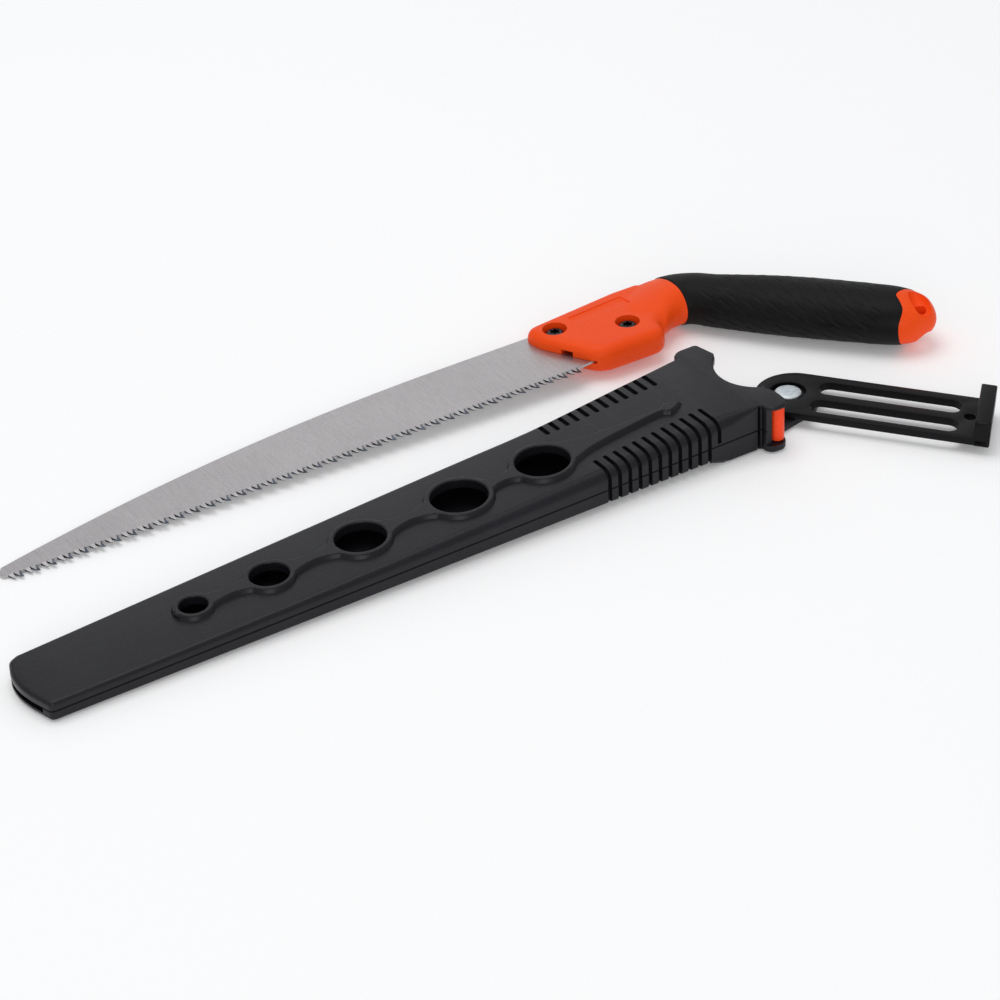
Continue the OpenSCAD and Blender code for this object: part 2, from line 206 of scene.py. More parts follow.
def hardenedSteel(name):
    # tooth facets burnt blue-grey by hardening, brown towards the roots
    paint = Paint(name, {"Metallic": 0.9})
    spot = paint.place()
    cloud = paint.noise(spot, 420, 3)
    lines = paint.noise(paint.place((2600, 300, 300), 0.9), 1, 3)
    tint = paint.node("ShaderNodeValToRGB", dict(stops=[
        (0.30, (0.045, 0.022, 0.012)), (0.46, (0.06, 0.075, 0.10)), (0.72, (0.16, 0.19, 0.235))]), {0: cloud})
    paint.feed(Base_Color=tint, Roughness=paint.band(lines, 0.3, 0.7, 0.26, 0.42),
               Normal=paint.bump(lines, 0.3, 0.00004))
    return paint.material


def cutRubber(name):
    # soft black grip, its fine skin broken by dust and rubbed edges
    paint = Paint(name, {"Specular IOR Level": 0.14})
    spot = paint.place()
    skin = paint.noise(spot, 2100, 3, 0.6)
    cloud = paint.noise(spot, 60, 3)
    shade = paint.band(skin * 0.5 + cloud * 0.5, 0.38, 0.62)
    paint.feed(Base_Color=paint.mix(shade, (0.002, 0.002, 0.0023), (0.007, 0.007, 0.0075)),
               Roughness=paint.band(cloud, 0.3, 0.7, 0.44, 0.58),
               Normal=paint.bump(skin, 0.5, 0.00007))
    return paint.material


finishes = dict(
    holster=mouldedPlastic("holsterPlastic", (0.0055, 0.0055, 0.0075), (0.0125, 0.0125, 0.0165),
                           roughness=0.34, grainScale=1500, grainDepth=0.00010, shine=0.26),
    hanger=mouldedPlastic("hangerPlastic", (0.003, 0.003, 0.0035), (0.007, 0.007, 0.008),
                          roughness=0.36, grainScale=2200, grainDepth=0.00005, shine=0.12),
    orange=mouldedPlastic("orangePlastic", (0.93, 0.070, 0.004), (1.0, 0.090, 0.007),
                          roughness=0.42, grainScale=1900, grainDepth=0.00004, shine=0.16),
    roller=mouldedPlastic("rollerPlastic", (0.93, 0.055, 0.010), (1.0, 0.075, 0.016),
                          roughness=0.36, grainScale=1700, grainDepth=0.00004, shine=0.2, smear=0.04),
    rubber=cutRubber("gripRubber"),
    blade=groundSteel("bladeSteel", (0.40, 0.385, 0.39), (0.56, 0.54, 0.545),
                      roughness=0.36, turn=0.0, across=(2400, 90, 2400), lineDepth=0.00003),
    tooth=hardenedSteel("hardenedTeeth"),
    screw=groundSteel("screwSteel", (0.035, 0.035, 0.04), (0.10, 0.10, 0.105),
                      roughness=0.34, turn=0.5, across=(900, 900, 900), lineDepth=0.00005),
    pin=groundSteel("pinSteel", (0.42, 0.42, 0.43), (0.62, 0.62, 0.63),
                    roughness=0.32, turn=0.0, across=(1200, 1200, 200), lineDepth=0.00004),
    rivet=castZinc("rivetZinc"),
)
print("finishes made")


# ---- Shape helpers ----
# The least easing, for cutters
sharpEase = 0.02


def smoothStep(t):
    t = min(max(t, 0), 1)
    return t * t * (3 - 2 * t)


def blendTable(table, x):
    # smooth value between a table's rows, which start with their place
    rows = [table[0]] + list(table) + [table[-1]]
    if x <= table[0][0]:
        return list(table[0][1:])
    for k in range(1, len(rows) - 2):
        a, b, c, d = rows[k - 1:k + 3]
        if x <= c[0]:
            t, span = (x - b[0]) / (c[0] - b[0]), c[0] - b[0]
            found = []
            for j in range(1, len(b)):
                inSlope = (c[j] - a[j]) / max(c[0] - a[0], 1e-6) * span
                outSlope = (d[j] - b[j]) / max(d[0] - b[0], 1e-6) * span
                found.append((2 * t**3 - 3 * t**2 + 1) * b[j] + (t**3 - 2 * t**2 + t) * inSlope
                             + (3 * t**2 - 2 * t**3) * c[j] + (t**3 - t**2) * outSlope)
            return found
    return list(table[-1][1:])


def quarterTurn(steps):
    # angles that divide a quarter turn
    return [math.pi / 2 * k / steps for k in range(steps + 1)]


def rectangle(left, low, right, high, radius=0):
    # corner points, and the same corners with their rounding
    points = [(left, low), (right, low), (right, high), (left, high)]
    return points, [(x, y, radius) for x, y in points if radius]


def outlineOf(points, corners=()):
    # a flat face whose named corners are rounded, given back as spots and inward directions
    bm = bmesh.new()
    bm.faces.new([bm.verts.new((x, y, 0)) for x, y in points])
    for x, y, radius in corners:
        near = min(bm.verts, key=lambda v: (v.co - Vector((x, y, 0))).length)
        bmesh.ops.bevel(bm, geom=[near], offset=radius, offset_type="OFFSET", segments=7, profile=0.5,
                        affect="VERTICES", material=-1)
    bm.faces.ensure_lookup_table()
    face = bm.faces[0]
    face.normal_update()
    if face.normal.z < 0:
        face.normal_flip()
    spots = [loop.vert.co.xy.copy() for loop in face.loops]
    bm.free()
    inward = []
    for k, spot in enumerate(spots):
        before, after = (spot - spots[k - 1]).normalized(), (spots[(k + 1) % len(spots)] - spot).normalized()
        a, b = Vector((-before.y, before.x)), Vector((-after.y, after.x))
        inward.append((a + b) / max(1 + a.dot(b), 0.5))
    return spots, inward


def grow(count, rings, place):
    # a closed skin that starts as one face and is drawn out ring by ring
    bm = bmesh.new()
    tag = bm.verts.layers.int.new("corner")
    bmesh.ops.create_circle(bm, cap_ends=True, segments=count, radius=1)
    bm.faces.ensure_lookup_table()
    face = bm.faces[0]
    for index, loop in enumerate(face.loops):
        loop.vert[tag] = index
    for ring in range(rings):
        if ring:
            under = face
            grown = bmesh.ops.extrude_face_region(bm, geom=[face])["geom"]
            face = next(g for g in grown if isinstance(g, bmesh.types.BMFace))
            if ring > 1:
                bmesh.ops.delete(bm, geom=[under], context="FACES_ONLY")
        for loop in face.loops:
            loop.vert.co = place(loop.vert[tag], ring)
    bmesh.ops.recalc_face_normals(bm, faces=bm.faces[:])
    return bm, face


def cutAcross(bm, face, stations, height):
    # splits a cap at places along X and sets the height of what is new
    region = [face]
    for x in stations:
        geometry = region + list({e for f in region for e in f.edges})
        geometry += list({v for f in region for v in f.verts})
        done = bmesh.ops.bisect_plane(bm, geom=geometry, dist=0.45, plane_co=(x, 0, 0), plane_no=(1, 0, 0))
        region = [g for g in done["geom"] if isinstance(g, bmesh.types.BMFace)]
        for piece in done["geom_cut"]:
            if isinstance(piece, bmesh.types.BMVert):
                piece.co.z = height(piece.co.x)
    return bm


def plate(points, corners, low, high, ease=sharpEase, turn=None, steps=3):
    # a flat plate with its outline's edges eased on both faces
    spots, inward = outlineOf(points, corners)
    levels = [(ease * (1 - math.sin(a)), low + ease * (1 - math.cos(a))) for a in quarterTurn(steps)]
    levels += [(inset, high + low - z) for inset, z in reversed(levels)]

    def corner(k, ring):
        inset, z = levels[ring]
        return (*(spots[k] + inward[k] * inset), z)

    bm, _ = grow(len(spots), len(levels), corner)
    if turn:
        bm.transform(turn)
    return bm


def turned(profile, steps=64, loop=False):
    # a profile of radius and height spun about Z
    bm = bmesh.new()
    spots = [bm.verts.new((r, 0, z)) for r, z in profile]
    edges = [bm.edges.new(pair) for pair in zip(spots, spots[1:] + (spots[:1] if loop else []))]
    bmesh.ops.spin(bm, geom=spots + edges, cent=(0, 0, 0), axis=(0, 0, 1), angle=2 * math.pi, steps=steps,
                   use_merge=True)
    bmesh.ops.remove_doubles(bm, verts=bm.verts[:], dist=0.0005)
    bmesh.ops.recalc_face_normals(bm, faces=bm.faces[:])
    return bm


def barrel(radius, low, high, centre=(0, 0), steps=40):
    bm = turned([(0, low), (radius, low), (radius, high), (0, high)], steps)
    bmesh.ops.translate(bm, vec=(*centre, 0), verts=bm.verts[:])
    return bm


def thing(name, parts):
    # one object from one or more meshes
    whole = bmesh.new()
    for bm in parts if isinstance(parts, list) else [parts]:
        held = bpy.data.meshes.new("held")
        bm.to_mesh(held)
        bm.free()
        whole.from_mesh(held)
        bpy.data.meshes.remove(held)
    bmesh.ops.triangulate(whole, faces=[f for f in whole.faces if len(f.verts) > 4])
    mesh = bpy.data.meshes.new(name)
    whole.to_mesh(mesh)
    whole.free()
    made = bpy.data.objects.new(name, mesh)
    scene.collection.objects.link(made)
    return made


def takeMesh(made):
    # an object's mesh as a bmesh, the object itself removed
    bm = bmesh.new()
    bm.from_mesh(made.data)
    bpy.data.objects.remove(made)
    return bm


def together(cutters):
    return takeMesh(thing("together", cutters))


def settle(made):
    # keeps what the modifiers give
    shown = made.evaluated_get(bpy.context.evaluated_depsgraph_get())
    mesh = bpy.data.meshes.new_from_object(shown)
    made.modifiers.clear()
    made.data = mesh


def extent(mesh):
    return [pick(v.co[axis] for v in mesh.vertices) for pick in (min, max) for axis in range(3)]


def carve(made, cutters, operation="DIFFERENCE"):
    lastTry, nudge, mostGrowth = 5, (0.0017, 0.0011, 0.0007), 0.05
    for bm in cutters:
        cutter = thing("cutter", bm)
        start, before = made.data, extent(made.data)
        # a cut that changes the piece's extent has failed, and is tried again slightly moved
        for attempt in range(lastTry + 1):
            cutter.location = [attempt * part for part in nudge]
            step = made.modifiers.new("carve", "BOOLEAN")
            step.operation, step.solver, step.object = operation, "EXACT", cutter
            settle(made)
            grown = sum(abs(a - b) for a, b in zip(extent(made.data), before))
            sound = len(made.data.vertices) and grown < mostGrowth
            if operation == "UNION" or sound or attempt == lastTry:
                break
            print("cut tried again for", made.name, round(grown, 2))
            made.data = start
        bpy.data.objects.remove(cutter)


def finishPiece(made, finish, body, stands, sharp=32, turn=None, second=None):
    # merges doubles, turns to place, scales to metres, paints and hands the piece to its body
    bm = bmesh.new()
    bm.from_mesh(made.data)
    bmesh.ops.remove_doubles(bm, verts=bm.verts[:], dist=0.002)
    bmesh.ops.dissolve_degenerate(bm, dist=0.001, edges=bm.edges[:])
    if turn:
        bm.transform(turn)
    bmesh.ops.scale(bm, vec=[toMetres] * 3, verts=bm.verts[:])
    bm.to_mesh(made.data)
    bm.free()
    if not second:
        made.data.materials.clear()
    made.data.materials.append(finish)
    if second:
        made.data.materials.append(second)
    made.data.shade_smooth()
    made.data.set_sharp_from_angle(angle=math.radians(sharp))
    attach(made, body)
    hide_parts(*stands)
    print(made.name, "has", len(made.data.polygons), "faces")


# ---- Holster ----
holster = dict(back=-332, gripEnd=-10, front=16, toothSide=23.5, waist=26.2, waistPlace=-95,
               taper=12, taperLength=237, flare=5.6, flareLength=90,
               endHeight=8.3, mouthHeight=23, foot=3, wall=1.8, roof=2.7, sideWall=2.2,
               seamEnd=4.3, seamRise=6.1, seamDepth=0.6)
# Tongue under the hanger: places along X from its root to its tip, half widths, thickness
tongue = dict(start=-6, side=24, neck=36, shoulder=45, tip=53, half=17.5, neckHalf=15, shoulderHalf=13.3,
              thick=3.4, ease=0.7)
holes = dict(places=(-254, -220, -178, -131, -90), sizes=(11.8, 16.4, 21.6, 24.4, 23.6), lip=0.75)
ridge = dict(height=2.2, rim=3.2, neck=3.6, flank=1.5, sunk=0.25, root=1.3, tailTip=-18.6,
             columns=560, rows=26)
# The ridge's tail: place, half width
ridgeTail = [(-84, 11.5), (-76, 8.2), (-68, 5.6), (-58, 4.1), (-46, 3.0), (-34, 2.1), (-29.6, 2.3),
             (-27.2, 4.0), (-24.8, 3.9), (-21.6, 2.4), (ridge["tailTip"], 0.05)]
# Each edge's grooves: first place, pitch, width, inner end and its step
grooves = dict(count=12, depth=2.1, above=5, land=0.9, farEase=1.05,
               near=(-72, 5.1, 1.95, -11.8, 0.33), far=(-75.4, 5.17, 2.3, 17.6, 0.17))
roller = dict(x=13.6, y=-24.6, radius=3.1, low=3.9, high=20.7, pin=1.25)


def share(x):
    # how far along the holster a place is, from its closed end to its mouth
    return (x - holster["back"]) / (holster["front"] - holster["back"])


def topHeight(x):
    t = share(x)
    return holster["endHeight"] + (holster["mouthHeight"] - holster["endHeight"]) * (0.35 * t + 0.65 * t * t)


def seamHeight(x):
    return holster["seamEnd"] + holster["seamRise"] * share(x)


def underHeight(x):
    return holster["foot"] * share(x) * (1 - smoothStep((x + 15.5) / 2))


def spineEdge(x):
    h = holster
    narrowing = h["taper"] * (max(0, h["waistPlace"] - x) / h["taperLength"]) ** 1.55
    return h["waist"] - narrowing + h["flare"] * smoothStep((x - h["waistPlace"]) / h["flareLength"])


def rounding(spot):
    # width and depth of the top edge's rounding, wide along the sides and small round the mouth
    t = share(spot.x)
    fade = 1 - smoothStep((spot.x + 16) / (19 if spot.y < 0 else 14))
    grown = max(t, 0) ** 1.25 * (1 if spot.y < 0 else 0.22)
    return 1.0 + (0.9 + 5.2 * grown) * fade, 1.1 + (0.5 + 4.0 * grown) * fade


stations = [holster["back"] + 8 + (holster["gripEnd"] - holster["back"] - 8) * k / 26 for k in range(27)]


def holsterOutline():
    back, near = holster["back"], -holster["toothSide"]
    points = [(x, near) for x in stations]
    points += [(6, near), (6, -26), (8, -29.4), (14.8, -29.6), (17.2, -25.5), (17.5, -18), (15, -11)]
    arc = [math.radians(a) for a in range(232, 127, -6)]
    points += [(28 + 21.3 * math.cos(a), 5.5 + 21.3 * math.sin(a)) for a in arc]
    points += [(15.9, 24.8), (14.1, 36.1), (4.2, 36.9), (1.4, 34.6), (0.5, 31.9)]
    points += [(x, spineEdge(x)) for x in reversed(stations)]
    points += [(back + 4, 12.8), (back + 1.6, 6), (back, -2), (back + 2.2, -13), (back + 5.4, near)]
    # place and radius of each rounded corner
    corners = [(6, -26, 0.8), (8, -29.4, 2.2), (14.8, -29.6, 2), (17.2, -25.5, 1.5), (15, -11, 1.2),
               (14.1, 36.1, 1.8), (4.2, 36.9, 1.8), (1.4, 34.6, 0.8), (back + 5.4, near, 1.8),
               (back + 4, 12.8, 1.6), (back, -2, 6), (6, near, 0.5)]
    return outlineOf(points, corners)


def shellSkin(spots, inward, upper):
    arcSteps = 7

    def corner(k, ring):
        spot, way = spots[k], inward[k]
        wide, deep = rounding(spot) if upper else (1.5, 1.5)
        sign = 1 if upper else -1
        edge = topHeight if upper else underHeight
        if ring < 2:
            inset = (holster["seamDepth"], 0.05)[ring]
            z = seamHeight(spot.x) + sign * (0.02, 0.42)[ring]
        elif ring < 4:
            inset = 0
            z = edge(spot.x) - sign * (deep + (0.9, 0.35)[ring - 2])
        else:
            angle = math.pi / 2 * (ring - 4) / arcSteps
            inset = wide * (1 - math.cos(angle))
            z = edge(spot.x + way.x * inset) - sign * deep * (1 - math.sin(angle))
        return (*(spot + way * inset), z)

    bm, cap = grow(len(spots), 5 + arcSteps, corner)
    cuts = stations + [-4, 2, 8, 11, 14, 16] if upper else [-15.5, -14.5, -13.5]
    return cutAcross(bm, cap, cuts, topHeight if upper else underHeight)


def hollow():
    # the room for the blade, open at the mouth
    back, side, wall = holster["back"], holster["sideWall"], holster["wall"]
    near, beyond = -holster["toothSide"] + side, 20
    points = [(x, near) for x in stations] + [(60, near), (60, 29.6)]
    points += [(x, spineEdge(x) - side) for x in reversed(stations)]
    end = back + side
    points += [(end + 3, 8), (end, -3), (end + 2.4, -13), (end + 5, near + 1.5)]
    spots, inward = outlineOf(points)

    def corner(k, ring):
        spot, way = spots[k], inward[k]
        grown = max(share(spot.x), 0) ** 1.25
        wide, deep = (0.8, 0.8) if spot.x > beyond else (0.8 + 4.4 * grown, 0.6 + 3.0 * grown)
        roof = topHeight(min(spot.x, beyond)) - holster["roof"]
        if ring == 0:
            return (*spot, wall + (holster["foot"] + 0.2) * share(spot.x))
        angle = math.pi / 2 * (ring - 1) / 4
        return (*(spot + way * wide * (1 - math.cos(angle))), roof - deep * (1 - math.sin(angle)))

    bm, cap = grow(len(spots), 6, corner)
    return cutAcross(bm, cap, stations, lambda x: topHeight(x) - holster["roof"])


def sidewaysSlab(points, x, width):
    # an outline in Y and Z given a width along X
    spots, _ = outlineOf(points)
    return grow(len(spots), 2, lambda k, ring: (x + (ring - 0.5) * width, spots[k].x, spots[k].y))[0]


def farGroove(x, width, end, edge):
    # a closed slot that stops short of the edge
    top = topHeight(x)
    points, _ = rectangle(x - width / 2, end, x + width / 2, edge - grooves["land"])
    inner = [(*spot, grooves["farEase"]) for spot in points[:2]]
    return plate(points, inner, top - grooves["depth"], top + grooves["above"])


def nearGroove(x, width, end, edge, low):
    # a slot that follows the top edge's rounding and runs out down the side
    depth, clear = grooves["depth"], 12
    wide, deep = rounding(Vector((x, edge)))
    top = topHeight(x)
    bend = [(edge + wide - (wide - depth) * math.cos(a), top - deep + (deep - depth) * math.sin(a))
            for a in quarterTurn(6)]
    high = top + grooves["above"]
    points = [(edge + depth, low)] + bend
    points += [(end, top - depth), (end, high), (edge - clear, high), (edge - clear, low)]
    bm = sidewaysSlab(points, x, width)
    # the inner end is rounded off
    ends = [e for e in bm.edges if all(abs(v.co.y - end) < 0.01 for v in e.verts)
            and abs(e.verts[0].co.x - e.verts[1].co.x) < 0.01]
    bmesh.ops.bevel(bm, geom=ends, offset=width * 0.46, offset_type="OFFSET", segments=4, profile=0.5,
                    affect="EDGES", material=-1)
    return bm


def grooveCutters():
    cutters = []
    for k in range(grooves["count"]):
        first, pitch, width, end, shift = grooves["near"]
        x, below = first + k * pitch, -2
        if k == grooves["count"] - 1:
            below = seamHeight(x) + 1.2
        cutters.append(nearGroove(x, width, end + k * shift, -holster["toothSide"], below))
        first, pitch, width, end, shift = grooves["far"]
        x = first + k * pitch
        cutters.append(farGroove(x, width, end + k * shift, spineEdge(x)))
    return together(cutters)


def latchCutters():
    # room for the roller, and the ear's wall set back under its cap
    pocket = [(5, -36), (24, -36), (24, -22.4), (17, -21.2), (9.2, -21.2), (9.2, -26.7), (5, -26.7)]
    slit = [(4.2, -40), (5.6, -40), (5.6, -20.9), (4.2, -20.9)]
    return [plate(pocket, [(9.2, -21.2, 2.6)], roller["low"] - 0.4, roller["high"] + 0.4),
            plate(slit, [], -2, 21.6)]


def ridgeHalfWidth(x):
    # outline of the chain that links the holes
    widest = 0
    places, sizes = holes["places"], holes["sizes"]
    for place, size in zip(places, sizes):
        reach = (size / 2 + ridge["rim"]) ** 2 - (x - place) ** 2
        widest = max(widest, math.sqrt(max(reach, 0)))
    for k in range(len(places) - 1):
        start, end = places[k] + sizes[k] * 0.35, places[k + 1] - sizes[k + 1] * 0.35
        if start <= x <= end:
            t = (x - start) / (end - start)
            grown = (1 - t) * (sizes[k] / 2 + 1.3) + t * (sizes[k + 1] / 2 + 1.3)
            widest = max(widest, ridge["neck"] + (grown - ridge["neck"]) * abs(2 * t - 1) ** 2.2 * 0.8)
    if x >= ridgeTail[0][0]:
        widest = max(widest, blendTable(ridgeTail, x)[0])
    return widest


def chainRidge():
    # a grid whose rows gather towards the rim, so that the flank is smooth
    columns, rows = ridge["columns"], ridge["rows"]
    first = holes["places"][0] - holes["sizes"][0] / 2 - ridge["rim"]
    places = [first + (ridge["tailTip"] - first) * k / columns for k in range(columns + 1)]
    rim = [(x, ridgeHalfWidth(x)) for x in places]
    bm = bmesh.new()
    bmesh.ops.create_grid(bm, x_segments=columns, y_segments=rows, size=1)
    halfRows, flankRows, flankStep, flankWidth, slim, reach = rows // 2, 8, 0.32, 2.6, 5, 14
    for v in bm.verts:
        column, row = round((v.co.x + 1) / 2 * columns), round((v.co.y + 1) / 2 * rows)
        x, half = rim[column]
        fromEdge = halfRows - abs(row - halfRows)
        if fromEdge <= flankRows:
            inset = min(fromEdge * flankStep, flankWidth)
        else:
            spread = (fromEdge - flankRows) / (halfRows - flankRows)
            inset = flankWidth + spread * max(half - flankWidth, 0)
        if half < slim:
            inset = min(inset, half * fromEdge / halfRows)
        y = (half - inset) * (1 if row > halfRows else -1 if row < halfRows else 0)
        gap = min(math.hypot(x - a, abs(y) - b) for a, b in rim[max(0, column - reach):column + reach + 1])
        t = min(gap / ridge["flank"], 1)
        rise = ridge["height"] * math.sin(t * math.pi / 2) ** 1.3
        v.co = (x, y, topHeight(x) - ridge["sunk"] + rise)
    grown = bmesh.ops.extrude_face_region(bm, geom=bm.faces[:], use_keep_orig=True)["geom"]
    for v in (g for g in grown if isinstance(g, bmesh.types.BMVert)):
        v.co.z = topHeight(v.co.x) - ridge["root"]
    bmesh.ops.recalc_face_normals(bm, faces=bm.faces[:])
    return bm


def holeRim(place, size):
    # rounded lip and inner wall of one hole
    radius, lip, low = size / 2, holes["lip"], -4.2
    outer = radius + lip + 0.2
    bend = [(radius + lip * (1 - math.cos(a)), -lip * (1 - math.sin(a))) for a in quarterTurn(5)]
    bm = turned([(radius, low)] + bend + [(outer, -0.02), (outer, low)], 72, True)
    for v in bm.verts:
        v.co.x += place
        v.co.z += topHeight(v.co.x) + ridge["height"] - ridge["sunk"]
    return bm


def holeCutters():
    pairs = zip(holes["places"], holes["sizes"])
    return together([barrel(size / 2 + holes["lip"], 4, 40, (place, 0), 72) for place, size in pairs])


def tongueSkin():
    t = tongue
    half = [(t["tip"], 0), (t["shoulder"], t["shoulderHalf"]), (t["neck"], t["neckHalf"]),
            (t["side"], t["half"]), (t["start"], t["half"])]
    points = [(x, -y) for x, y in reversed(half[1:])] + half
    rounded = [(t["shoulder"], -t["shoulderHalf"], 5), (t["tip"], 0, 9),
               (t["shoulder"], t["shoulderHalf"], 5), (t["neck"], -t["neckHalf"], 3),
               (t["neck"], t["neckHalf"], 3)]
    return plate(points, rounded, 0, t["thick"], t["ease"])


def makeHolster():
    spots, inward = holsterOutline()
    upper = thing("holsterTop", shellSkin(spots, inward, True))
    carve(upper, [hollow(), holeCutters(), grooveCutters()] + latchCutters())
    chain = thing("chain", chainRidge())
    carve(chain, [holeCutters()])
    rims = [holeRim(place, size) for place, size in zip(holes["places"], holes["sizes"])]
    whole = thing("holsterTop", [takeMesh(upper), takeMesh(chain)] + rims)
    finishPiece(whole, finishes["holster"], "holster", ["upper_shell"])

    lower = thing("holsterBack", shellSkin(spots, inward, False))
    slot, _ = rectangle(holster["back"] - 4, -18.5, holster["back"] + 7, 5)
    carve(lower, [hollow(), grooveCutters(), plate(slot, [], 2.2, 12)] + latchCutters())
    whole = thing("holsterBack", [takeMesh(lower), tongueSkin()])
    finishPiece(whole, finishes["holster"], "holster", ["lower_shell"])


makeHolster()
print("holster made")


# ---- Latch roller ----
def makeRoller():
    low, high, radius, bore = roller["low"], roller["high"], roller["radius"], roller["pin"] + 0.1
    profile = [(bore, low), (radius - 0.4, low), (radius - 0.1, low + 0.12), (radius, low + 0.45),
               (radius, high - 0.45), (radius - 0.1, high - 0.12), (radius - 0.4, high), (bore, high)]
    bm = turned(profile, 48, True)
    bmesh.ops.translate(bm, vec=(roller["x"], roller["y"], 0), verts=bm.verts[:])
    finishPiece(thing("latchRoller", bm), finishes["roller"], "roller", ["latch_roller"])


makeRoller()


# ---- Hanger ----
hanger = dict(pivot=(38, 0), angle=-53, low=3.7, thick=3.6, half=17.5, length=92, hookHeight=8, hookThick=7,
              slotFirst=12.5, slotLast=77.5, slotWidth=10.6, slotEase=4.6, slots=(6.9, -8.8), cordPlace=81.8,
              cordRadius=2.6, boreRadius=2.6, recess=8, recessFloor=1.9, lean=0.08, leanShift=0.4,
              skew=0.14, skewShift=0.8, skewLength=75)


def hangerCutters():
    h, low, high = hanger, -2, 9
    cutters = []
    for y in h["slots"]:
        half = h["slotWidth"] / 2
        points, rounded = rectangle(h["slotFirst"], y - half, h["slotLast"], y + half, h["slotEase"])
        cutters.append(plate(points, rounded, low, high))
    cutters.append(barrel(h["cordRadius"], low, high, (h["cordPlace"], 0)))
    cutters.append(barrel(h["recess"], h["recessFloor"], high, steps=72))
    cutters.append(barrel(h["boreRadius"], low, high))
    return cutters


def hangerHook():
    h = hanger
    tall = h["thick"] + h["hookHeight"]
    points, _ = rectangle(-h["half"], 0.2, h["half"], tall)
    # the outline's axes go to Y and Z
    upright = Matrix(((0, 0, 1, 0), (1, 0, 0, 0), (0, 1, 0, 0), (0, 0, 0, 1)))
    stand = Matrix.Translation((h["length"] - h["hookThick"], 0, 0)) @ upright
    rounded = [(h["half"], tall, 2.2), (-h["half"], tall, 2.2)]
    hook = plate(points, rounded, 0, h["hookThick"], 0.7, turn=stand)
    for v in hook.verts:
        v.co.x += max(v.co.z - h["thick"], 0) * h["lean"] - h["leanShift"]
    return hook


def makeHanger():
    h = hanger
    end = h["length"] - 1
    sweep = [math.radians(a) for a in range(90, 271, 6)]
    points = [(3 + h["half"] * math.cos(a), h["half"] * math.sin(a)) for a in sweep]
    points += [(end, -h["half"]), (end, h["half"])]
    arm = thing("hangerArm", plate(points, [(end, -h["half"], 1), (end, h["half"], 1)], 0, h["thick"], 0.8))
    carve(arm, hangerCutters())
    bm = takeMesh(arm)
    rims = [e for e in bm.edges if len(e.link_faces) == 2 and e.calc_face_angle(0) > 1.2
            and all(v.co.z > h["thick"] - 0.01 for v in e.verts)]
    bmesh.ops.bevel(bm, geom=rims, offset=0.45, offset_type="OFFSET", segments=3, profile=0.5, affect="EDGES",
                    material=-1, clamp_overlap=True)
    hook = hangerHook()
    for v in bm.verts[:] + hook.verts[:]:
        # the end is cut a little askew
        v.co.x -= (h["skew"] * v.co.y + h["skewShift"]) * smoothStep(v.co.x / h["skewLength"])
    turn = Matrix.Translation((*h["pivot"], h["low"])) @ Matrix.Rotation(math.radians(h["angle"]), 4, "Z")
    whole = thing("hangerArm", [bm, hook])
    finishPiece(whole, finishes["hanger"], "hanger", ["hanger_arm"], turn=turn)


makeHanger()


def makeRivet():
    floor = hanger["low"] + hanger["recessFloor"]
    shank = [(0, 0.25), (3.4, 0.25), (3.6, 0.45), (3.6, 0.9), (2.5, 0.95), (2.5, floor)]
    head = [(5.6, 0.05), (5.95, 0.35), (5.95, 0.95), (5.75, 1.3), (5.2, 1.6), (3.0, 1.85), (0, 1.9)]
    bm = turned(shank + [(radius, floor + rise) for radius, rise in head], 72)
    bmesh.ops.translate(bm, vec=(*hanger["pivot"], 0), verts=bm.verts[:])
    finishPiece(thing("rivetHead", bm), finishes["rivet"], "holster", ["hanger_rivet"],
                sharp=50)


makeRivet()
print("hanger made")

# ---- Saw ----
saw = dict(place=(-301, 75, 0.7), turn=-1.93, pitch=1.7191, pairs=38, pitchLength=7.25, depth=4.2, width=41,
           thick=1.2, taper=30, taperLength=225, play=0.08)
guard = dict(thick=13, ease=4.8, frontHole=(279.5, 31.5), rearHole=(309.5, 17), recess=5.7, recessDepth=4)
gripLine = dict(start=(353.2, 23.2), angle=-47.4)
onSaw = (Matrix.Translation(saw["place"]) @ Matrix.Rotation(math.radians(saw["turn"]), 4, "Z")
         @ Matrix.Rotation(math.radians(-saw["pitch"]), 4, "Y"))


def bladeBack(s):
    return saw["width"] - saw["taper"] * (max(0, saw["taperLength"] - s) / saw["taperLength"]) ** 2


def toothedSheet():
    pitch, pairs, root = saw["pitchLength"], saw["pairs"], saw["depth"]
    points = [(-1.5, 4.6)]
    for k in range(pairs):
        gullets = ((0.5, root), (3.4, root + 0.4), (6.0, root + 0.1), (6.9, root - 0.25))
        points += [(k * pitch + along, across) for along, across in gullets]
    points += [(pairs * pitch + 2, root), (318, 9), (330, 24), (326, 36), (300, 38.5), (286, 40)]
    points += [(s, bladeBack(s)) for s in range(272, -1, -8)] + [(-2.4, 7.2)]
    return plate(points, [], -saw["thick"] / 2, saw["thick"] / 2, 0.1, steps=1)


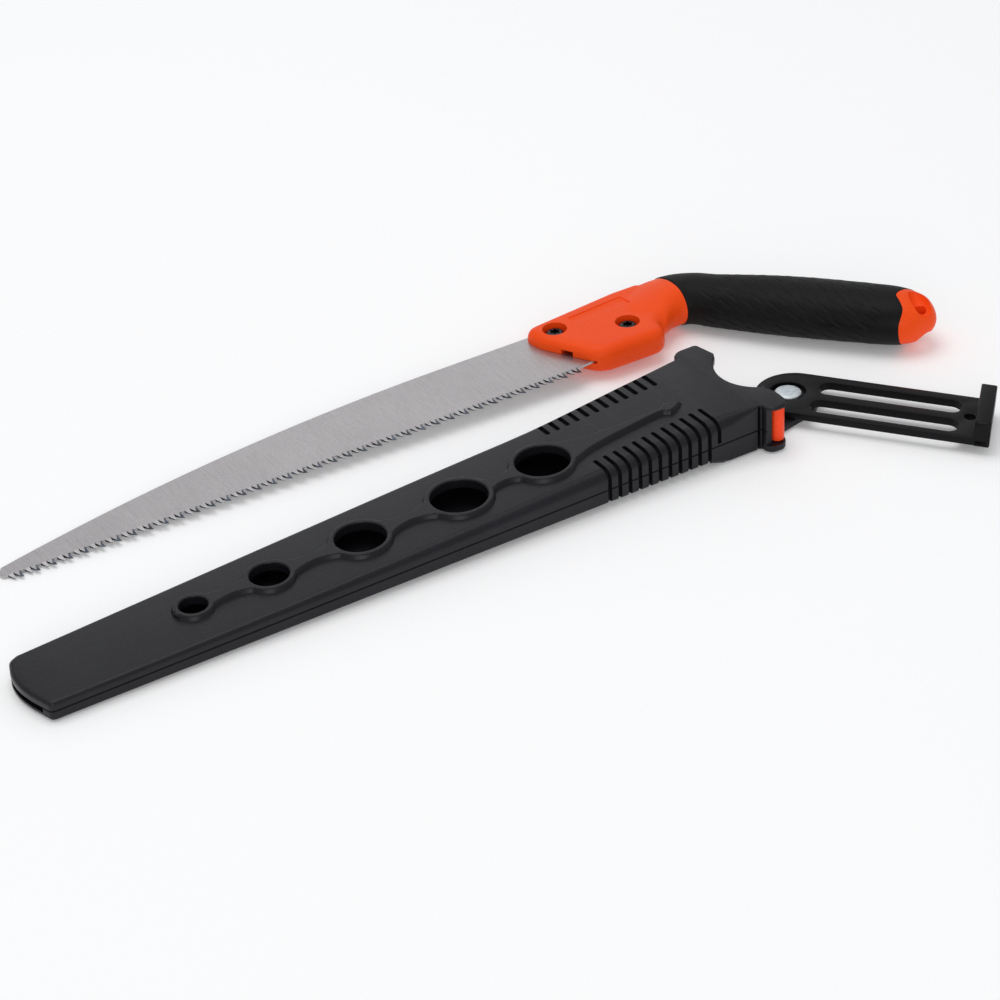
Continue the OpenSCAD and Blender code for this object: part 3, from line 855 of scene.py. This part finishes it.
def groundTeeth():
    # each tooth is a ground point: left root, right root, belly and tip, bent up or down by its set
    pitch, root, half = saw["pitchLength"], saw["depth"], saw["thick"] / 2
    shapes = [dict(left=0.5, right=3.1, top=root + 0.5, belly=(1.75, 2.2), tip=(3.0, 0.5), bend=-0.18),
              dict(left=3.1, right=5.95, top=root + 0.9, belly=(4.55, 1.0), tip=(6.1, -0.35), bend=0.22)]
    teeth = bmesh.new()
    for shape in shapes:
        left, right, bend = shape["left"], shape["right"], shape["bend"]
        middle, low = shape["belly"]
        spots = [(left, root + 0.1, half), (right - 0.25, shape["top"], half + 0.02),
                 (middle, low, 0.32 + bend), (*shape["tip"], bend), (right, root + 0.2, 0.1),
                 (left, root + 0.1, -half), (right, root + 0.2, -half), (middle, low + 0.3, -0.42 + bend)]
        bmesh.ops.convex_hull(teeth, input=[teeth.verts.new(spot) for spot in spots])
    first = teeth.verts[:] + teeth.edges[:] + teeth.faces[:]
    for k in range(1, saw["pairs"]):
        copied = bmesh.ops.duplicate(teeth, geom=first)["geom"]
        moved = [g for g in copied if isinstance(g, bmesh.types.BMVert)]
        bmesh.ops.translate(teeth, vec=(k * pitch, 0, 0), verts=moved)
    bmesh.ops.recalc_face_normals(teeth, faces=teeth.faces[:])
    # the ground facets take the second finish
    for face in teeth.faces:
        face.material_index = 1 if face.normal.x > 0.04 or abs(face.normal.z) < 0.9 else 0
    return teeth


def makeBlade():
    blade = thing("sawBlade", [toothedSheet(), groundTeeth()])
    finishPiece(blade, finishes["blade"], "saw", ["blade"], sharp=12, turn=onSaw,
                second=finishes["tooth"])


makeBlade()
print("blade made")


def gripSpot(u, v=0.0):
    # a place on the blade's plane from distances along and across the grip
    a = math.radians(gripLine["angle"])
    start = gripLine["start"]
    return (start[0] + u * math.cos(a) - v * math.sin(a), start[1] + u * math.sin(a) + v * math.cos(a))


# Stations down the neck: distance, place along and across the blade, turn, half width, half thickness
neckStations = [(-52, 300, 25.8, 0, 20.4, 6.2), (-37, 316, 26.8, -5, 19.8, 6.8),
                (-22, 331.8, 29.3, -16, 19.8, 8.9), (-12, 341.8, 29.8, -30.6, 17.0, 10.3),
                (-4, *gripSpot(-4, 0.4), -45, 13.7, 10.95)]
# Stations down the grip and butt: distance, offset across the grip, half width, half thickness
gripStations = [(6, 0.1, 13.8, 11.3), (18, 0.3, 14.8, 11.8), (30, 0.5, 16.0, 12.15), (42, 0.6, 16.8, 12.3),
                (55, 0.6, 17.1, 12.35), (68, 0.4, 16.9, 12.3), (80, 0.2, 16.5, 12.25), (89.5, 0, 16, 12.15),
                (96, -0.3, 14.8, 11.5), (101.5, -0.3, 12.4, 10.2), (104.2, 0.1, 10.2, 8.9),
                (106.2, 0, 7.9, 7.3), (108, -0.3, 5.3, 5.2), (109.2, -0.7, 3.0, 3.0), (109.7, -0.9, 1.2, 1.2)]
handleLine = neckStations + [(u, *gripSpot(u, v), gripLine["angle"], width, thick)
                             for u, v, width, thick in gripStations]


def handleSkin(u, angle, swell=0.0):
    s, y, turn, halfWidth, halfThick = blendTable(handleLine, u)
    turn = math.radians(turn)
    across, up = (halfWidth + swell) * math.cos(angle), (halfThick + swell) * math.sin(angle)
    return Vector((s - across * math.sin(turn), y + across * math.cos(turn), up))


sleeve = dict(front=341.6, rings=170, segments=160, raised=0.3, ease=0.7, tuck=1.5)
# Cuts in the sleeve: depth, width, row length, lane width, lean, radius that angles are measured on
cuts = dict(depth=0.38, width=0.75, row=9.5, lane=4.6, lean=34, radius=14.5, lip=0.16)
# Where the sleeve ends round the butt: angle in degrees, distance
sleeveEnd = [(-90, 96), (-30, 99), (20, 101.5), (40, 99), (60, 96), (84, 93), (97, 92.2), (112, 94.5),
             (130, 96.5), (165, 95.6), (200, 95.8), (230, 96), (270, 96)]


def sleeveStart(angle):
    low, high = -40.0, 12.0
    for _ in range(22):
        middle = (low + high) / 2
        if handleSkin(middle, angle).x < sleeve["front"]:
            low = middle
        else:
            high = middle
    return low


def gripCut(u, angle):
    # short slanted slices over the grip's upper and outer faces, each with a slightly raised lip
    arc = cuts["radius"] * angle
    lean = math.radians(cuts["lean"])
    along, over = u * math.cos(lean) + arc * math.sin(lean), -u * math.sin(lean) + arc * math.cos(lean)
    row = math.floor(along / cuts["row"])
    start = along / cuts["row"] - row
    lane = over / cuts["lane"] + (0.5 if row % 2 else 0)
    across = (lane - math.floor(lane)) * cuts["lane"] - cuts["lane"] / 2
    inCut = smoothStep((start - 0.06) / 0.14) * smoothStep((0.94 - start) / 0.14)
    groove = math.exp(-(across / (cuts["width"] * 0.5)) ** 2)
    scale = max(0, 1 - across / 2.6) if across > 0 else 0
    return inCut * (groove * cuts["depth"] - cuts["lip"] * scale)


def cutZone(u, angle):
    degrees = math.degrees(angle) % 360
    over = smoothStep((degrees - 38) / 14) * smoothStep((214 - degrees) / 12)
    under = smoothStep((degrees - 218) / 14) * smoothStep((322 - degrees) / 12)
    return max(over, under) * smoothStep((u + 1) / 8) * smoothStep((88 - u) / 5)


def makeSleeve():
    rings, segments, ease, raised = sleeve["rings"], sleeve["segments"], sleeve["ease"], sleeve["raised"]
    angles = [2 * math.pi * k / segments for k in range(segments)]
    starts = [sleeveStart(a) for a in angles]
    ends = [blendTable(sleeveEnd, (math.degrees(a) + 90) % 360 - 90)[0] for a in angles]

    def corner(k, ring):
        angle, start, end = angles[k], starts[k], ends[k]
        # the first and last rings are tucked under the skin
        if ring == 0:
            return handleSkin(start + 0.1, angle, -sleeve["tuck"])
        if ring == rings - 1:
            return handleSkin(end - 0.1, angle, -sleeve["tuck"])
        u = start + (end - start) * (ring - 1) / (rings - 3)
        edge = min(u - start, end - u)
        swell = raised if edge >= ease else raised - 0.55 * (1 - edge / ease) ** 2
        return handleSkin(u, angle, swell - gripCut(u, angle) * cutZone(u, angle))

    bm, _ = grow(segments, rings, corner)
    finishPiece(thing("gripSleeve", bm), finishes["rubber"], "saw", ["grip_sleeve"], sharp=60,
                turn=onSaw)


makeSleeve()
print("sleeve made")


def guardPlate():
    points = [(268.6, 30.5), (268.2, 41.4), (318, 46.9), (334, 46.9), (334, 18), (322.5, 9.5), (319.9, -0.1),
              (285, 0.3)]
    corners = [(268.6, 30.5, 5), (268.2, 41.4, 5.5), (319.9, -0.1, 5), (285, 0.3, 7)]
    return plate(points, corners, -guard["thick"] / 2, guard["thick"] / 2, guard["ease"], steps=8)


def neckTube():
    segments, rings, first, last, inset = 72, 60, -50.0, 4.0, -0.1

    def corner(k, ring):
        return handleSkin(first + (last - first) * ring / (rings - 1), 2 * math.pi * k / segments, inset)

    return grow(segments, rings, corner)[0]


def buttSkin():
    # sunk under the sleeve at first, then flush with it
    segments, rings, first, last, flush = 96, 48, 84.0, 109.7, 88

    def corner(k, ring):
        u = first + (last - first) * math.sin(math.pi / 2 * ring / (rings - 1))
        return handleSkin(u, 2 * math.pi * k / segments, 0.12 if u > flush else -0.6)

    return grow(segments, rings, corner)[0]


def onGrip(u, v, z=0.0, turn=0.0):
    aim = math.radians(gripLine["angle"] + turn)
    return Matrix.Translation((*gripSpot(u, v), z)) @ Matrix.Rotation(aim, 4, "Z")


lanyard = dict(place=(102.5, -1.2), radius=2.75, scoopSize=(9.8, 5.2, 6.6), scoopPlace=(103.8, -2.6),
               scoopLift=10.4, scoopTilt=12, scoopTurn=-51)


def scoop(side):
    # slanted hollow that runs down into the lanyard hole
    tilt = Matrix.Rotation(math.radians(lanyard["scoopTilt"] * side), 3, "Y")
    bm = bmesh.new()
    bmesh.ops.create_uvsphere(bm, u_segments=48, v_segments=28, radius=1)
    bmesh.ops.scale(bm, vec=lanyard["scoopSize"], verts=bm.verts[:])
    bmesh.ops.rotate(bm, cent=(0, 0, 0), matrix=tilt, verts=bm.verts[:])
    bm.transform(onGrip(*lanyard["scoopPlace"], lanyard["scoopLift"] * side, lanyard["scoopTurn"]))
    return bm


def guardCutters():
    # the blade's kerf, the screws' recesses, the blank panel and the notch before the teeth
    half, play = guard["thick"] / 2, saw["thick"] / 2 + saw["play"]
    kerf = [(255, -6), (279, -6), (283.5, 3.2), (319, 8), (331, 24), (327, 37), (300, 39.5), (286, 41.2),
            (255, 41.2)]
    cutters = [plate(kerf, [], -play, play)]
    seat = half - guard["recessDepth"]
    for hole in ("frontHole", "rearHole"):
        for low, high in ((-half - 6, -seat), (seat, half + 6)):
            cutters.append(barrel(guard["recess"], low, high, guard[hole], 56))
    panel = Matrix.Translation((304.6, 33.6, half - 0.4)) @ Matrix.Rotation(math.radians(5), 4, "Z")
    cutters.append(plate(*rectangle(-15, -4, 15, 4, 0.9), 0, 3, turn=panel))
    notch = Matrix.Translation((276, 16, 0)) @ Matrix.Rotation(math.radians(-64), 4, "Z")
    cutters.append(plate(*rectangle(-3.1, -3, 3.1, 6), -4.2, 2.9, turn=notch))
    return cutters


def makeHandle():
    handle = thing("handleBody", guardPlate())
    carve(handle, [neckTube()], "UNION")
    # guard and neck are melted together, and the join is smoothed
    skin = handle.modifiers.new("skin", "REMESH")
    skin.mode, skin.voxel_size, skin.use_smooth_shade = "VOXEL", 0.62, True
    ease = handle.modifiers.new("ease", "SMOOTH")
    ease.factor, ease.iterations = 0.5, 12
    settle(handle)
    carve(handle, guardCutters())
    butt = thing("butt", buttSkin())
    hole = barrel(lanyard["radius"], -14, 14)
    hole.transform(onGrip(*lanyard["place"]))
    carve(butt, [scoop(1), scoop(-1), hole])
    whole = thing("handleBody", [takeMesh(handle), takeMesh(butt)])
    finishPiece(whole, finishes["orange"], "saw", ["handle_core"], sharp=40, turn=onSaw)


makeHandle()
print("handle made")


def makeScrews():
    seat = guard["thick"] / 2 - guard["recessDepth"]
    dome = [(0, -0.4), (3.9, -0.4), (4.2, 0.2), (4.2, 1.5), (3.9, 2.1), (3.2, 2.5), (0, 2.6)]
    points, reach = 24, (2.7, 2.3, 1.7, 2.3)
    star = []
    for k in range(points):
        a, r = 2 * math.pi * k / points, reach[k % len(reach)]
        star.append((r * math.cos(a), r * math.sin(a)))
    screws = [("frontScrew", "frontHole", "front_screw"), ("rearScrew", "rearHole", "rear_screw")]
    for name, hole, node in screws:
        head = thing(name, turned([(radius, seat + rise) for radius, rise in dome], 48))
        carve(head, [plate(star, [], seat + 0.9, seat + 6)])
        move = onSaw @ Matrix.Translation((*guard[hole], 0))
        finishPiece(head, finishes["screw"], "saw", [node], sharp=30, turn=move)


makeScrews()

# ---- Carried-over parts ----
carriedOver = dict(roller_pin="pin", rivet_washer="pin", front_barrel_nut="screw", rear_barrel_nut="screw")
for node, finish in carriedOver.items():
    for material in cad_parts[node].material_slots:
        material.material = finishes[finish]


# ---- Studio ----
def addStudio():
    bm = bmesh.new()
    bmesh.ops.create_grid(bm, x_segments=1, y_segments=1, size=studio["floorSize"] / 2)
    mesh = bpy.data.meshes.new("studioFloor")
    bm.to_mesh(mesh)
    bm.free()
    floor = bpy.data.objects.new("studioFloor", mesh)
    scene.collection.objects.link(floor)
    floor.location.z = studio["floorHeight"]
    paper = Paint("studioPaper", {"Base Color": (*studio["floorTone"], 1), "Roughness": 0.9,
                                  "Specular IOR Level": 0.1, "Emission Color": (1, 1, 1, 1),
                                  "Emission Strength": studio["floorGlow"]})
    mesh.materials.append(paper.material)
    world = bpy.data.worlds.new("studioAir")
    scene.world = world
    world.use_nodes = True
    air = world.node_tree.nodes["Background"]
    air.inputs[0].default_value, air.inputs[1].default_value = (*studio["skyTone"], 1), studio["skyPower"]
    for name, (place, aim, size, watts) in lamps.items():
        data = bpy.data.lights.new(name, "AREA")
        data.shape, data.size, data.energy = "DISK", size, watts
        lamp = bpy.data.objects.new(name, data)
        scene.collection.objects.link(lamp)
        lamp.location = place
        lamp.rotation_euler = (Vector(aim) - Vector(place)).to_track_quat("-Z", "Y").to_euler()
    scene.view_settings.view_transform = "Standard"


addStudio()
print("studio lit")
